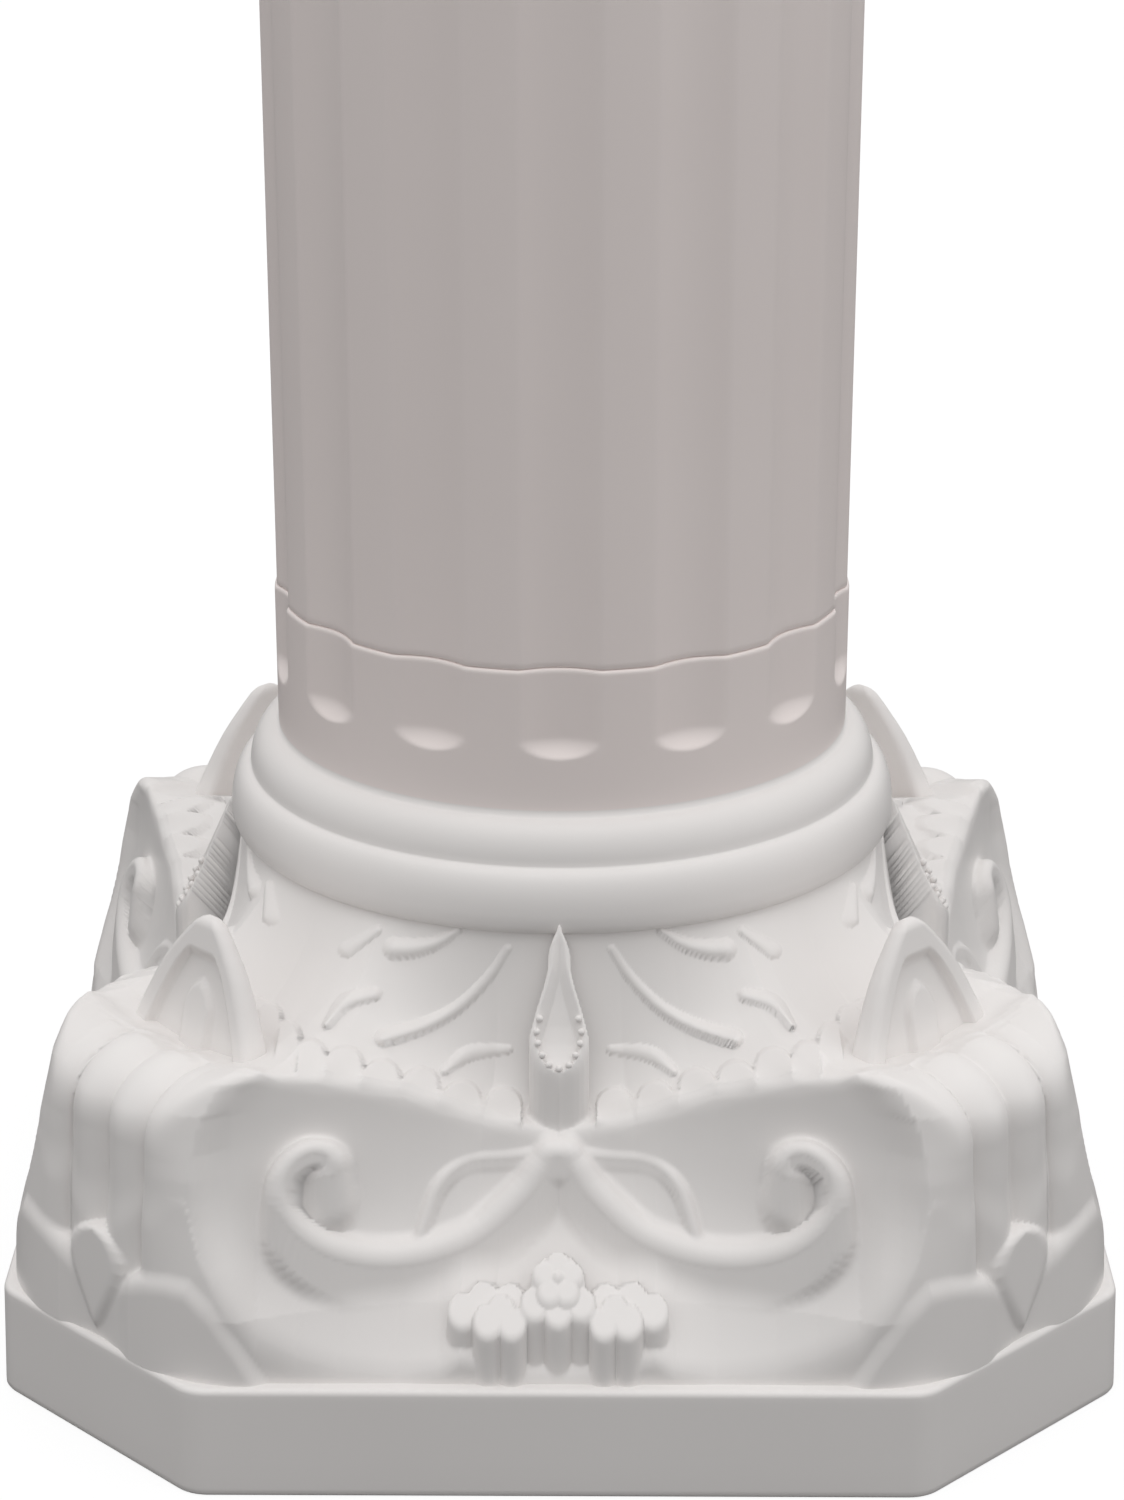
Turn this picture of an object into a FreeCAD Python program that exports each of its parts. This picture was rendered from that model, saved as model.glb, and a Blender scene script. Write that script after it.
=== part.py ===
import FreeCAD, Part
import math
import os

# White plastic column pedestal that comes apart: a carved foot moulding, two fluted tubes with
# a sleeve between them, the same moulding turned over as the capital, and a screwed top plate.
# Millimetres, +Z up, origin at the centre of the foot's underside.

os.makedirs("parts", exist_ok=True)
doc = FreeCAD.newDocument("pedestal")

# ---------------------------------------------------------------- driving dimensions

SIZES = {
    "plinth_width": 290.0,
    "plinth_height": 29.3,
    "plinth_chamfer": 53.6,
    "plinth_draft": 2.0,
    "plinth_corner_round": 11.0,
    "plinth_edge_bevel": 1.5,
    "wall": 3.2,
    "ledge": 6.0,
    "bell_top": 127.5,
    "bell_middle_height": 98.0,
    "bell_middle_radius": 94.0,
    "bell_low_height": 78.0,
    "bell_low_radius": 106.0,
    "brow_height": 102.0,
    "brow_half": 121.0,
    "brow_corner": 139.0,
    "shoulder_height": 84.0,
    "shoulder_half": 139.0,
    "shoulder_corner": 157.0,
    "foot_corner": 160.0,
    "panel_low_height": 33.0,
    "panel_low_reach": 136.0,
    "panel_high_height": 82.0,
    "panel_high_reach": 104.0,
    "panel_radius": 136.0,
    "panel_half": 92.0,
    "ring_wall_top": 132.6,
    "ring_low_radius": 88.6,
    "ring_mid_height": 143.4,
    "ring_mid_radius": 83.4,
    "collar_bottom": 153.9,
    "collar_radius": 75.6,
    "collar_top": 192.0,
    "flute_count": 14,
    "flute_width": 15.6,
    "flute_depth": 2.9,
    "flute_end": 171.0,
    "shaft_radius": 75.0,
    "shaft_length": 500.0,
    "shaft_wall": 2.6,
    "spigot_wall": 3.0,
    "spigot_rise": 30.0,
    "fit_gap": 0.3,
    "sleeve_length": 64.0,
    "sleeve_stop": 1.5,
    "roll_pitch": 14.3,
    "roll_count": 4,
    "roll_proud": 3.6,
    "roll_depth": 14.0,
    "leaf_tip_height": 131.0,
    "leaf_tip_reach": 124.6,
    "leaf_foot_height": 95.0,
    "leaf_foot_reach": 133.0,
    "leaf_width": 50.0,
    "leaf_rim": 5.0,
    "leaf_recess": 2.5,
    "leaf_depth": 12.0,
    "petal_reach": 165.5,
    "petal_depth": 9.0,
    "petal_middle_half": 10.0,
    "petal_middle_rise": 29.0,
    "petal_side_half": 13.0,
    "petal_side_rise": 25.0,
    "petal_side_offset": 22.0,
    "scroll_rise": 5.0,
    "scroll_top": 80.0,
    "scroll_low": 51.0,
    "scroll_width": 9.5,
    "scroll_reach": 74.0,
    "curl_height": 75.0,
    "curl_top": 91.0,
    "curl_end": 53.0,
    "flower_half": 26.0,
    "flower_top": 56.0,
    "bud_width": 15.0,
    "bud_foot": 84.0,
    "bud_top": 116.0,
    "plate_thickness": 4.0,
    "boss_reach": 139.0,
    "boss_radius": 5.5,
    "screw_radius": 2.0,
    "screw_head_radius": 4.2,
    "screw_head_height": 2.4,
    "screw_length": 20.0,
}

sheet = doc.addObject("Spreadsheet::Sheet", "Sizes")
for row, (alias, value) in enumerate(SIZES.items(), start=1):
    sheet.set("A%d" % row, alias)
    sheet.set("B%d" % row, "%s" % value)
    sheet.setAlias("B%d" % row, alias)
doc.recompute()


def size(alias):
    return float(sheet.get(alias))


# ---------------------------------------------------------------- small helpers

X = FreeCAD.Vector(1, 0, 0)
Z = FreeCAD.Vector(0, 0, 1)
QUARTER = 90.0
HALF = 180.0
EIGHTH = 45.0
ROOT2 = math.sqrt(2.0)
OUT = FreeCAD.Vector(1 / ROOT2, -1 / ROOT2, 0)
ALONG = FreeCAD.Vector(1 / ROOT2, 1 / ROOT2, 0)
RING_SIDES = 24
NECK_SIDES = 16
SCREW_SIDES = 8
PANEL_STEPS = 6
ROLL_STEPS = 3
LEAF_STEPS = 2
PETAL_STEPS = 2
SCROLL_STEPS = 3
LEAF_KNEE = 0.58
CURL_STEPS = 2
CARVING_NEAR = 70.0
FLUTE_CROWN = 0.38
NECK_SLACK = 1.25
SCREW_GAP = 0.05
SLEEVE_EDGE = 0.5


def new_body(name):
    return doc.addObject("PartDesign::Body", name)


def origin_part(body, role):
    return next(item for item in body.Origin.OriginFeatures if item.Role == role)


def new_sketch(body, name, role, place=None):
    sketch = body.newObject("Sketcher::SketchObject", name)
    sketch.AttachmentSupport = [(origin_part(body, role), "")]
    sketch.MapMode = "FlatFace"
    if place is not None:
        sketch.AttachmentOffset = place
    return sketch


def at_height(z):
    return FreeCAD.Placement(FreeCAD.Vector(0, 0, z), FreeCAD.Rotation())


def add_polygon(sketch, points):
    corners = [FreeCAD.Vector(p[0], p[1], 0) for p in points]
    for start, end in zip(corners, corners[1:] + corners[:1]):
        sketch.addGeometry(Part.LineSegment(start, end), False)


def add_arc(sketch, start, middle, end):
    ends = [FreeCAD.Vector(p[0], p[1], 0) for p in (start, middle, end)]
    sketch.addGeometry(Part.Arc(*ends), False)


def pad(body, name, sketch, length=None, reversed_way=False):
    feature = body.newObject("PartDesign::Pad", name)
    feature.Profile = sketch
    feature.Reversed = reversed_way
    if length is not None:
        feature.setExpression("Length", length)
    return feature


def pocket(body, name, sketch, length=None, reversed_way=False):
    feature = body.newObject("PartDesign::Pocket", name)
    feature.Profile = sketch
    feature.Reversed = reversed_way
    if length is not None:
        feature.setExpression("Length", length)
    return feature


def revolve(body, name, sketch, kind="PartDesign::Revolution"):
    feature = body.newObject(kind, name)
    feature.Profile = sketch
    feature.ReferenceAxis = (sketch, ["V_Axis"])
    feature.Angle = 360.0
    return feature


def repeat_round(body, name, features, count):
    pattern = body.newObject("PartDesign::PolarPattern", name)
    pattern.Originals = features
    pattern.Axis = (origin_part(body, "Z_Axis"), [""])
    pattern.Angle = 360.0
    pattern.setExpression("Occurrences", count)
    body.Tip = pattern
    return pattern


def turned(x, y, degrees):
    angle = math.radians(degrees)
    return (x * math.cos(angle) - y * math.sin(angle), x * math.sin(angle) + y * math.cos(angle))


# ---------------------------------------------------------------- outlines

def octagon_points(half, corner):
    """Four sides `half` from the centre and four corner faces `corner` from it."""
    end = ROOT2 * corner - half
    points = []
    for quarter in range(4):
        points.append(turned(end, -half, QUARTER * quarter))
        points.append(turned(half, -end, QUARTER * quarter))
    return points


def plinth_points(inset=0.0):
    half = size("plinth_width") / 2
    corner = (2 * half - size("plinth_chamfer")) / ROOT2
    return octagon_points(half - inset, corner - inset)


def arc_points(start, middle, end, steps):
    """Evenly spaced points on the arc through three points, without its end."""
    ends = [FreeCAD.Vector(p[0], p[1], 0) for p in (start, middle, end)]
    return [(p.x, p.y) for p in Part.Arc(*ends).discretize(steps + 1)[:-1]]


def round_points(radius, sides=0):
    """A many-sided ring for the hidden round walls, or one with few sides for a screw."""
    sides = sides or RING_SIDES
    return [turned(radius, 0, 360.0 / sides * index) for index in range(sides)]


def small_round(sketch, centre, radius):
    points = round_points(radius, SCREW_SIDES)
    add_polygon(sketch, [(centre.x + x, centre.y + y) for x, y in points])


def fluted_outline(sketch, radius):
    """Flutes and the round ridges between them, as arcs that meet tangentially."""
    count = int(size("flute_count"))
    pitch = 2 * math.pi / count
    meet_angle = size("flute_width") / 2 / radius
    crown = size("flute_depth") * FLUTE_CROWN
    meet = radius - crown
    bottom = meet * math.cos(meet_angle) - size("flute_depth") + crown
    for index in range(count):
        middle = -math.pi / 2 + index * pitch
        before, after = middle - meet_angle, middle + meet_angle
        crest, end = middle + pitch / 2, middle + pitch - meet_angle
        add_arc(sketch, (meet * math.cos(before), meet * math.sin(before)),
                (bottom * math.cos(middle), bottom * math.sin(middle)),
                (meet * math.cos(after), meet * math.sin(after)))
        add_arc(sketch, (meet * math.cos(after), meet * math.sin(after)),
                (radius * math.cos(crest), radius * math.sin(crest)),
                (meet * math.cos(end), meet * math.sin(end)))


BORE_RADIUS = size("shaft_radius") - size("flute_depth") - size("shaft_wall")
SPIGOT_RADIUS = BORE_RADIUS - size("fit_gap")
SPIGOT_BORE = SPIGOT_RADIUS - size("spigot_wall")


# ---------------------------------------------------------------- the moulding, used twice

def bell_block(body, name, inset):
    """The bell between plinth and rings: an eight-sided block with a hollow panel scooped out
    of each side. A positive inset gives the hollow inside the wall, a negative one the outer
    limit of the carving."""
    drop = max(inset, 0.0)
    levels = (
        (size("plinth_height"), size("plinth_width") / 2 - size("ledge"), size("foot_corner")),
        (size("shoulder_height"), size("shoulder_half"), size("shoulder_corner")),
        (size("brow_height"), size("brow_half"), size("brow_corner")),
    )
    outlines = []
    for index, (height, half, corner) in enumerate(levels):
        outline = new_sketch(body, "%s_level_%d" % (name, index), "XY_Plane", at_height(height - drop))
        add_polygon(outline, octagon_points(half - inset, corner - inset))
        outlines.append(outline)
    block = body.newObject("PartDesign::AdditiveLoft", name + "_block")
    block.Profile = outlines[0]
    block.Sections = outlines[1:]
    block.Ruled = True
    doc.recompute()

    low = FreeCAD.Vector(0, -size("panel_low_reach"), size("panel_low_height"))
    high = FreeCAD.Vector(0, -size("panel_high_reach"), size("panel_high_height"))
    rise = (high - low).normalize()
    radius, half = size("panel_radius"), size("panel_half")
    outer = radius - math.sqrt(radius ** 2 - half ** 2)
    place = FreeCAD.Placement(low, FreeCAD.Rotation(X, rise.cross(X), rise, "ZXY"))
    scoop = new_sketch(body, name + "_scoop", "XY_Plane", place)
    hollow = arc_points((-half, inset - outer), (0, inset), (half, inset - outer), PANEL_STEPS)
    add_polygon(scoop, hollow + [(half, inset - outer), (half, -half), (-half, -half)])
    scooped = pocket(body, name + "_scoop_pocket", scoop, "Sizes.plinth_width", True)
    doc.recompute()
    repeat_round(body, name + "_scoops", [scooped], "4")
    doc.recompute()


def moulding_outside(prefix):
    body = new_body(prefix + "_outside")

    plinth = new_sketch(body, prefix + "_plinth", "XY_Plane")
    add_polygon(plinth, plinth_points())
    block = pad(body, prefix + "_plinth_pad", plinth, "Sizes.plinth_height")
    block.TaperAngle = -size("plinth_draft")
    doc.recompute()

    upright = ["Edge%d" % (i + 1) for i, edge in enumerate(block.Shape.Edges)
               if abs(edge.Vertexes[0].Z - edge.Vertexes[-1].Z) > size("plinth_height") / 2]
    corners = body.newObject("PartDesign::Fillet", prefix + "_plinth_corners")
    corners.Base = (block, upright)
    corners.setExpression("Radius", "Sizes.plinth_corner_round")
    doc.recompute()
    top_edges = ["Edge%d" % (i + 1) for i, edge in enumerate(corners.Shape.Edges)
                 if edge.BoundBox.ZMin > size("plinth_height") - 0.01]
    rim = body.newObject("PartDesign::Chamfer", prefix + "_plinth_rim")
    rim.Base = (corners, top_edges)
    rim.setExpression("Size", "Sizes.plinth_edge_bevel")
    doc.recompute()

    bell_block(body, prefix + "_bell", 0.0)

    rings = new_sketch(body, prefix + "_rings", "XZ_Plane")
    low, middle, collar = size("ring_low_radius"), size("ring_mid_radius"), size("collar_radius")
    seat, wall_top = size("bell_top"), size("ring_wall_top")
    mid_height, collar_bottom = size("ring_mid_height"), size("collar_bottom")
    bulge = 1 - 1 / ROOT2
    low_round = (low - (low - middle) * bulge, mid_height - (mid_height - wall_top) * bulge)
    top_round = (middle - (middle - collar) * bulge, collar_bottom - (collar_bottom - mid_height) * bulge)
    neck = ((size("bell_low_radius"), size("bell_low_height")),
            (size("bell_middle_radius"), size("bell_middle_height")))
    add_polygon(rings, ((0, neck[0][1]), neck[0], neck[1], (low, seat), (low, wall_top), low_round,
                        (middle, mid_height), top_round, (collar, collar_bottom),
                        (collar, size("collar_top")), (0, size("collar_top"))))
    revolve(body, prefix + "_rings_turn", rings)
    doc.recompute()

    flute_radius = (size("flute_width") ** 2 / 4 + size("flute_depth") ** 2) / (2 * size("flute_depth"))
    axis_reach = size("collar_radius") - size("flute_depth") + flute_radius
    flute = new_sketch(body, prefix + "_flute", "XZ_Plane", at_height(axis_reach))
    end = size("flute_end")
    above = size("collar_top") + 1
    add_polygon(flute, ((0, end - flute_radius), (0, above), (flute_radius, above), (flute_radius, end)))
    flute_cut = revolve(body, prefix + "_flute_cut", flute, "PartDesign::Groove")
    doc.recompute()
    repeat_round(body, prefix + "_flutes", [flute_cut], "Sizes.flute_count")
    doc.recompute()

    corner_relief(body, prefix)
    return body


def on_corner(radial, along, z):
    """A point at the front right corner: out along the diagonal, then along the corner face."""
    return OUT * radial + ALONG * along + Z * z


def corner_relief(body, prefix):
    """Upright rolls, a pointed leaf with a sunk face, and three petals on each corner."""
    made = []
    levels = ((size("plinth_height") - 1, size("foot_corner") - size("roll_proud")),
              (size("shoulder_height"), size("shoulder_corner")),
              (size("brow_height"), size("brow_corner") + size("roll_proud")))
    rolls = []
    for index, (height, reach) in enumerate(levels):
        outline = new_sketch(body, "%s_rolls_%d" % (prefix, index), "XY_Plane", at_height(height))
        roll_outline(outline, reach)
        rolls.append(outline)
    cascade = body.newObject("PartDesign::AdditiveLoft", prefix + "_cascade")
    cascade.Profile = rolls[0]
    cascade.Sections = rolls[1:]
    cascade.Ruled = True
    made.append(cascade)

    tip = on_corner(size("leaf_tip_reach"), 0, size("leaf_tip_height"))
    foot = on_corner(size("leaf_foot_reach"), 0, size("leaf_foot_height"))
    slope = (tip - foot).normalize()
    face = FreeCAD.Placement(foot, FreeCAD.Rotation(ALONG, slope, ALONG.cross(slope), "XYZ"))
    length, rim = (tip - foot).Length, size("leaf_rim")
    leaf = new_sketch(body, prefix + "_leaf", "XY_Plane", face)
    add_polygon(leaf, leaf_points(size("leaf_width") / 2, length, 0.0))
    made.append(pad(body, prefix + "_leaf_pad", leaf, "Sizes.leaf_depth", True))
    recess = new_sketch(body, prefix + "_leaf_recess", "XY_Plane", face)
    add_polygon(recess, leaf_points(size("leaf_width") / 2 - rim, length - rim * 2, rim))
    made.append(pocket(body, prefix + "_leaf_pocket", recess, "Sizes.leaf_recess"))

    front = FreeCAD.Placement(OUT * size("petal_reach"), FreeCAD.Rotation(ALONG, Z, ALONG.cross(Z), "XYZ"))
    petals = new_sketch(body, prefix + "_petals", "XY_Plane", front)
    offset = size("petal_side_offset")
    side = (size("petal_side_half"), size("petal_side_rise"))
    for middle, half, rise in ((0.0, size("petal_middle_half"), size("petal_middle_rise")),
                               (-offset, side[0], side[1]), (offset, side[0], side[1])):
        add_polygon(petals, petal_points(middle, half, size("plinth_height") - 1, rise))
    made.append(pad(body, prefix + "_petals_pad", petals, "Sizes.petal_depth", True))
    doc.recompute()
    repeat_round(body, prefix + "_corners", made, "4")
    doc.recompute()


def roll_outline(sketch, reach):
    """Half-round rolls side by side across the corner, proud of `reach`."""
    count, pitch = int(size("roll_count")), size("roll_pitch")
    points = []
    for index in range(count):
        left = (index - count / 2) * pitch
        points += arc_points((left, reach), (left + pitch / 2, reach + size("roll_proud")),
                             (left + pitch, reach), ROLL_STEPS)
    back = reach - size("roll_depth")
    points += [(count / 2 * pitch, reach), (count / 2 * pitch, back), (-count / 2 * pitch, back)]
    add_polygon(sketch, [turned(out, -along, -EIGHTH) for along, out in points])


def leaf_points(half, length, foot):
    """A pointed arch, `length` from `foot` to its tip, its sides a little bowed."""
    knee = (half * LEAF_KNEE, foot + length / 2)
    tip = (0, foot + length)
    points = arc_points((half, foot), knee, tip, LEAF_STEPS)
    points += arc_points(tip, (-knee[0], knee[1]), (-half, foot), LEAF_STEPS)
    return points + [(-half, foot)]


def petal_points(middle, half, low, rise):
    """A petal that stands on a flat foot half its width and comes to a blunt point."""
    foot, waist, tip = half / 2, low + rise / 2, (middle, low + rise)
    points = arc_points((middle + foot, low), (middle + half, waist), tip, PETAL_STEPS)
    points += arc_points(tip, (middle - half, waist), (middle - foot, low), PETAL_STEPS)
    return points + [(middle - foot, low)]


def scroll_points(way):
    """One C-shaped scroll: out along its lower edge, round the curl, and back along the inner."""
    reach, top, low, width = size("scroll_reach"), size("scroll_top"), size("scroll_low"), size("scroll_width")
    side, crown, end = size("curl_height"), size("curl_top"), size("curl_end")
    half_width = width / 2
    start = (width / 4, top)
    points = arc_points(start, (reach / 2, low), (reach, side), SCROLL_STEPS)
    points += arc_points((reach, side), (reach - width, crown), (end, crown - half_width), CURL_STEPS)
    points += arc_points((end, crown - half_width), (end + half_width, crown - 2 * width),
                         (reach - width, side), CURL_STEPS)
    points += arc_points((reach - width, side), (reach / 2, low + width), (width, top), SCROLL_STEPS)
    return [(way * x, y) for x, y in points + [(width, top)]]


def front_carving(prefix):
    """On each of the four sides a C-shaped scroll either side of a flower and a pointed bud, as
    deep as the bell's surface pushed out by the scroll's rise."""
    limit = new_body(prefix + "_carving_limit")
    bell_block(limit, prefix + "_limit", -size("scroll_rise"))
    cutter = new_body(prefix + "_carving")
    drawing = new_sketch(cutter, prefix + "_scrolls", "XZ_Plane", at_height(CARVING_NEAR))
    for way in (-1, 1):
        add_polygon(drawing, scroll_points(way))
    half, top, low = size("flower_half"), size("flower_top"), size("plinth_height")
    add_polygon(drawing, ((-half / 2, low), (half / 2, low), (half, top - half / 2), (half / 3, top - half / 3),
                          (0, top), (-half / 3, top - half / 3), (-half, top - half / 2)))
    bud, foot, tip = size("bud_width") / 2, size("bud_foot"), size("bud_top")
    add_polygon(drawing, ((0, foot), (bud, foot + bud), (bud / 2, foot + 2 * bud), (0, tip),
                          (-bud / 2, foot + 2 * bud), (-bud, foot + bud)))
    block = pad(cutter, prefix + "_scroll_pad", drawing, "Sizes.plinth_width / 2 - %s" % CARVING_NEAR)
    doc.recompute()
    repeat_round(cutter, prefix + "_scroll_sides", [block], "4")
    doc.recompute()
    carving = doc.addObject("Part::Common", prefix + "_carving_cut")
    carving.Base = cutter
    carving.Tool = limit
    return carving


def moulding_hollow(prefix):
    body = new_body(prefix + "_hollow")
    wall = size("wall")
    floor = new_sketch(body, prefix + "_hollow_plinth", "XY_Plane")
    add_polygon(floor, plinth_points(wall))
    pad(body, prefix + "_hollow_pad", floor, "Sizes.plinth_height - Sizes.wall")
    doc.recompute()
    bell_block(body, prefix + "_hollow_bell", wall)
    doc.recompute()
    slack = wall * NECK_SLACK
    levels = ((size("bell_low_height"), size("bell_low_radius") - slack),
              (size("bell_middle_height"), size("bell_middle_radius") - slack),
              (size("bell_top") - wall, size("ring_low_radius") - slack),
              (size("collar_bottom") - wall, BORE_RADIUS), (size("collar_top") - wall, BORE_RADIUS))
    rings = []
    for index, (height, radius) in enumerate(levels):
        ring = new_sketch(body, "%s_hollow_ring_%d" % (prefix, index), "XY_Plane", at_height(height))
        add_polygon(ring, round_points(radius, NECK_SIDES))
        rings.append(ring)
    neck = body.newObject("PartDesign::AdditiveLoft", prefix + "_hollow_neck")
    neck.Profile = rings[0]
    neck.Sections = rings[1:]
    neck.Ruled = True
    doc.recompute()
    bore = new_sketch(body, prefix + "_hollow_bore", "XY_Plane", at_height(size("collar_top") - size("wall") - 1))
    add_polygon(bore, round_points(SPIGOT_BORE))
    pad(body, prefix + "_hollow_bore_pad", bore, "Sizes.spigot_rise + Sizes.wall + 2")
    doc.recompute()
    return body


def corner_copies(x):
    return [FreeCAD.Vector(*turned(x / ROOT2, -x / ROOT2, QUARTER * quarter), 0) for quarter in range(4)]


def screw_bosses(prefix, outer):
    """Posts for the top plate's screws, each with a rib to the corner wall."""
    body = new_body(prefix + "_bosses")
    rest = size("plate_thickness")
    posts = new_sketch(body, prefix + "_posts", "XY_Plane", at_height(rest))
    for centre in corner_copies(size("boss_reach")):
        small_round(posts, centre, size("boss_radius"))
    pad(body, prefix + "_post_pad", posts, "Sizes.shoulder_height - Sizes.plate_thickness")
    ribs = new_sketch(body, prefix + "_ribs", "XY_Plane", at_height(rest))
    half = size("wall") / 2
    for quarter in range(4):
        box = ((size("boss_reach"), -half), (size("foot_corner"), -half), (size("foot_corner"), half),
               (size("boss_reach"), half))
        add_polygon(ribs, [turned(x, y, QUARTER * quarter - EIGHTH) for x, y in box])
    pad(body, prefix + "_rib_pad", ribs, "Sizes.shoulder_height - Sizes.plate_thickness")
    doc.recompute()
    pilots = new_sketch(body, prefix + "_pilots", "XY_Plane")
    for centre in corner_copies(size("boss_reach")):
        small_round(pilots, centre, size("screw_radius") + SCREW_GAP)
    pocket(body, prefix + "_pilot_pocket", pilots, "Sizes.screw_length + Sizes.screw_radius", True)
    doc.recompute()
    inside = doc.addObject("Part::Common", prefix + "_bosses_inside")
    inside.Base = body
    inside.Tool = outer
    return inside


def spigot(prefix):
    """The ring that goes up into the shaft."""
    body = new_body(prefix + "_spigot")
    ring = new_sketch(body, prefix + "_spigot_ring", "XY_Plane", at_height(size("collar_top") - size("wall")))
    add_polygon(ring, round_points(SPIGOT_RADIUS))
    add_polygon(ring, round_points(SPIGOT_BORE))
    pad(body, prefix + "_spigot_pad", ring, "Sizes.spigot_rise + Sizes.wall")
    doc.recompute()
    return body


def moulding(label):
    outer = moulding_outside(label)
    carving = front_carving(label)
    skin = doc.addObject("Part::MultiFuse", label + "_skin")
    skin.Shapes = [outer, carving]
    shell = doc.addObject("Part::Cut", label + "_shell")
    shell.Base = skin
    shell.Tool = moulding_hollow(label)
    whole = doc.addObject("Part::MultiFuse", label)
    whole.Shapes = [shell, screw_bosses(label, outer), spigot(label)]
    whole.Label = label
    doc.recompute()
    return whole


# ---------------------------------------------------------------- shaft, sleeve, plate, screws

def shaft_tube(label, lift):
    body = new_body(label)
    outline = new_sketch(body, label + "_outline", "XY_Plane")
    fluted_outline(outline, size("shaft_radius"))
    add_polygon(outline, round_points(BORE_RADIUS))
    pad(body, label + "_pad", outline, "(Sizes.shaft_length - Sizes.sleeve_stop) / 2")
    body.setExpression("Placement.Base.z", lift)
    body.Label = label
    return body


def shaft_sleeve(label):
    """A tube inside both shaft tubes, with a thin stop ring between their ends."""
    body = new_body(label)
    half = size("sleeve_length") / 2
    tube = new_sketch(body, label + "_tube", "XY_Plane", at_height(-half))
    add_polygon(tube, round_points(SPIGOT_RADIUS))
    add_polygon(tube, round_points(SPIGOT_BORE))
    pad(body, label + "_tube_pad", tube, "Sizes.sleeve_length")
    doc.recompute()
    ring = new_sketch(body, label + "_stop", "XY_Plane", at_height(-size("sleeve_stop") / 2))
    add_polygon(ring, round_points(size("shaft_radius") - size("flute_depth") - SLEEVE_EDGE))
    add_polygon(ring, round_points(SPIGOT_BORE))
    pad(body, label + "_stop_pad", ring, "Sizes.sleeve_stop")
    body.setExpression("Placement.Base.z", "Sizes.collar_top + Sizes.shaft_length / 2")
    body.Label = label
    return body


def top_plate(label):
    """A flat octagon inside the capital's rim, level with it, with four countersunk holes."""
    body = new_body(label)
    outline = new_sketch(body, label + "_outline", "XY_Plane")
    add_polygon(outline, plinth_points(size("wall") + size("fit_gap")))
    for centre in corner_copies(size("boss_reach")):
        small_round(outline, centre, size("screw_radius") + SCREW_GAP)
    pad(body, label + "_pad", outline, "Sizes.plate_thickness")
    doc.recompute()
    sink = new_sketch(body, label + "_sink", "XY_Plane")
    for centre in corner_copies(size("boss_reach")):
        small_round(sink, centre, size("screw_head_radius") + SCREW_GAP)
    pocket(body, label + "_sink_pocket", sink, "Sizes.screw_head_height", True)
    body.setExpression("Placement.Base.z", "2 * Sizes.collar_top + Sizes.shaft_length")
    body.Placement.Rotation = FreeCAD.Rotation(X, HALF)
    body.Label = label
    return body


def plate_screws(label):
    """Four screws as one group: flat heads sunk into the plate, shanks into the posts."""
    body = new_body(label)
    heads = new_sketch(body, label + "_heads", "XY_Plane")
    shanks = new_sketch(body, label + "_shanks", "XY_Plane")
    for centre in corner_copies(size("boss_reach")):
        small_round(heads, centre, size("screw_head_radius"))
        small_round(shanks, centre, size("screw_radius"))
    pad(body, label + "_head_pad", heads, "Sizes.screw_head_height")
    doc.recompute()
    pad(body, label + "_shank_pad", shanks, "Sizes.screw_length")
    doc.recompute()
    body.setExpression("Placement.Base.z", "2 * Sizes.collar_top + Sizes.shaft_length")
    body.Placement.Rotation = FreeCAD.Rotation(X, HALF)
    body.Label = label
    return body


base = moulding("base_moulding")
capital = doc.addObject("Part::Mirroring", "capital_moulding")
capital.Source = base
capital.Normal = Z
capital.setExpression("Base.z", "Sizes.collar_top + Sizes.shaft_length / 2")
capital.Label = "capital_moulding"
pieces = [
    base,
    shaft_tube("shaft_lower", "Sizes.collar_top"),
    shaft_sleeve("shaft_sleeve"),
    shaft_tube("shaft_upper", "Sizes.collar_top + (Sizes.shaft_length + Sizes.sleeve_stop) / 2"),
    capital,
    top_plate("top_plate"),
    plate_screws("top_plate_screws"),
]
doc.recompute()

# ---------------------------------------------------------------- checks and export

for item in doc.Objects:
    if "Invalid" in item.State or "Error" in item.State:
        raise RuntimeError("%s failed: %s" % (item.Label, item.State))
for piece in pieces:
    shape = piece.Shape
    if shape.isNull() or not shape.isValid():
        raise RuntimeError("%s has no valid shape" % piece.Label)
    box = shape.BoundBox
    print("%-18s solids %d volume %.0f mm3 z %.1f..%.1f" % (
        piece.Label, len(shape.Solids), shape.Volume, box.ZMin, box.ZMax))
    shape.exportStep("parts/%s.step" % piece.Label)
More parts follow.
